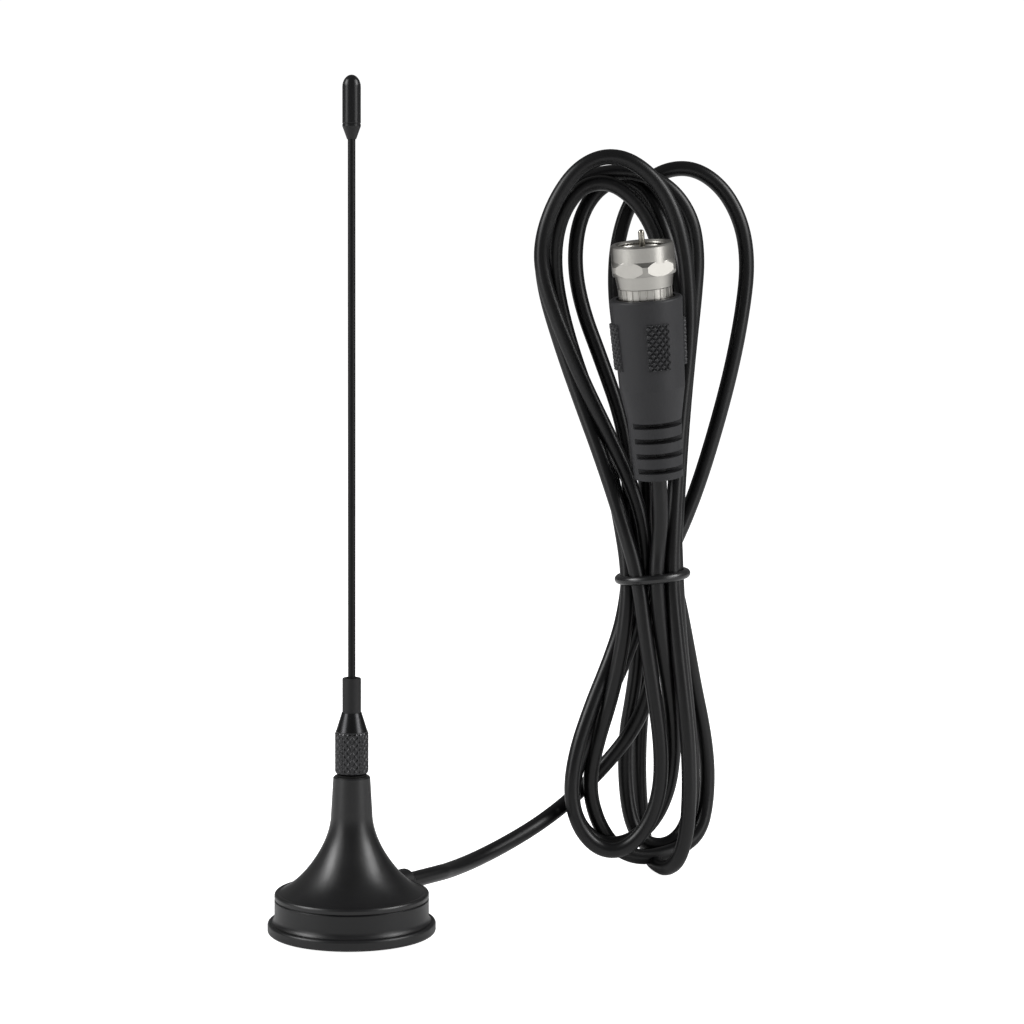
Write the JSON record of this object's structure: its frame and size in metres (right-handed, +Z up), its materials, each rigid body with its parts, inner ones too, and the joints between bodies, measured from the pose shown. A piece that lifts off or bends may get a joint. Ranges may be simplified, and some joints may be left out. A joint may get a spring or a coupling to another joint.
{
  "type": "tv antenna",
  "caption": "Small magnetic-base whip antenna for television with an unscrewing rod and a hanked coaxial lead ending in a screw-on aerial plug.",
  "frame": {"origin": "centre of the round base where it stands on the floor", "axes": "+Z up along the whip, +X towards the tied hank of cable, +Y to the back, where the lead leaves the base"},
  "size_m": [0.0842, 0.074, 0.142],
  "materials": {
    "pad_rubber": "matt moulded",
    "cup_abs": "semi-gloss moulded",
    "bell_abs": "satin moulded",
    "ferrite": "sintered",
    "tinned_steel": "tinned",
    "insert_brass": "turned",
    "core_insulation": "extruded",
    "screen_copper": "braided",
    "gland_pvc": "moulded",
    "washer_fibre": "punched",
    "ferrule_black_chrome": "black plated, turned",
    "sleeve_rubber": "extruded",
    "rod_black_steel": "satin black",
    "cap_abs": "gloss moulded",
    "cable_pvc": "extruded, satin",
    "tie_rubber": "moulded",
    "boot_pvc": "moulded, satin",
    "plated_brass": "nickel plated, turned",
    "polythene": "moulded",
    "pin_nickel": "nickel plated"
  },
  "bodies": {
    "base": {"bottom_pad": "pad_rubber", "base_cup": "cup_abs", "magnet": "ferrite", "ground_plate": "tinned_steel", "bell_housing": "bell_abs", "threaded_insert": "insert_brass", "core_wire": "core_insulation", "drain_wire": "screen_copper", "cable_gland": "gland_pvc", "cable_lead": "cable_pvc", "cable_hank": "cable_pvc", "cable_tie": "tie_rubber", "cable_tail": "cable_pvc", "connector_boot": "boot_pvc", "connector_body": "plated_brass", "connector_post": "plated_brass", "connector_insulator": "polythene", "centre_pin": "pin_nickel"},
    "washer": {"whip_washer": "washer_fibre"},
    "whip": {"whip_ferrule": "ferrule_black_chrome", "whip_sleeve": "sleeve_rubber", "whip_rod": "rod_black_steel", "tip_cap": "cap_abs"},
    "nut": {"coupling_nut": "plated_brass"}
  },
  "joints": [
    {"name": "whip_lift", "type": "slide", "parent": "base", "child": "washer", "axis": [0, 0, 1], "range_m": [0, 0.0045]},
    {"name": "whip_turn", "type": "hinge", "parent": "washer", "child": "whip", "pos_m": [0, 0, 0.02695], "axis": [0, 0, 1], "range_deg": [0, 3243]},
    {"name": "nut_spin", "type": "hinge", "parent": "base", "child": "nut", "pos_m": [0.04969, 0.03511, 0.10767], "axis": [-0.0875, -0.1305, 0.9876], "continuous": true}
  ],
  "couplings": [
    {"joint": "whip_turn", "follows": "whip_lift", "rad_per_m": 12566}
  ]
}
